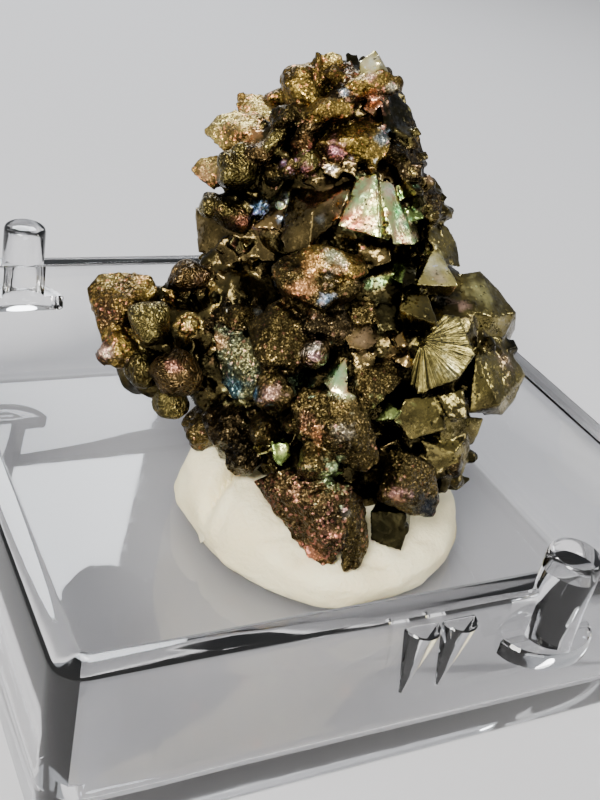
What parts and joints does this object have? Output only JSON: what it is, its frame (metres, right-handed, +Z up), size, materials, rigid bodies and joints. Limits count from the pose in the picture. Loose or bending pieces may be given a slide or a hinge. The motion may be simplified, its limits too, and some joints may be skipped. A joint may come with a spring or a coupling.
{
  "type": "marcasite mineral specimen on a specimen box base",
  "caption": "Thumbnail-size marcasite crystal group, bronze and iridescent, pressed into off-white mineral tack on the clear square base of a specimen box.",
  "frame": {"origin": "centre of the box base's underside, on the surface it stands on", "axes": "+Z up, +X to the viewer's right and -Y toward the box's front wall, the one with the two tapered ribs"},
  "size_m": [0.032, 0.035, 0.0244],
  "materials": {
    "bronze_metal": "metallic bronze-olive lustre with iridescent tarnish",
    "cream_putty": "matte",
    "clear_plastic": "clear, polished"
  },
  "bodies": {
    "root": {"marcasite": "bronze_metal", "mineral_tack": "cream_putty", "box_base": "clear_plastic"}
  },
  "joints": []
}
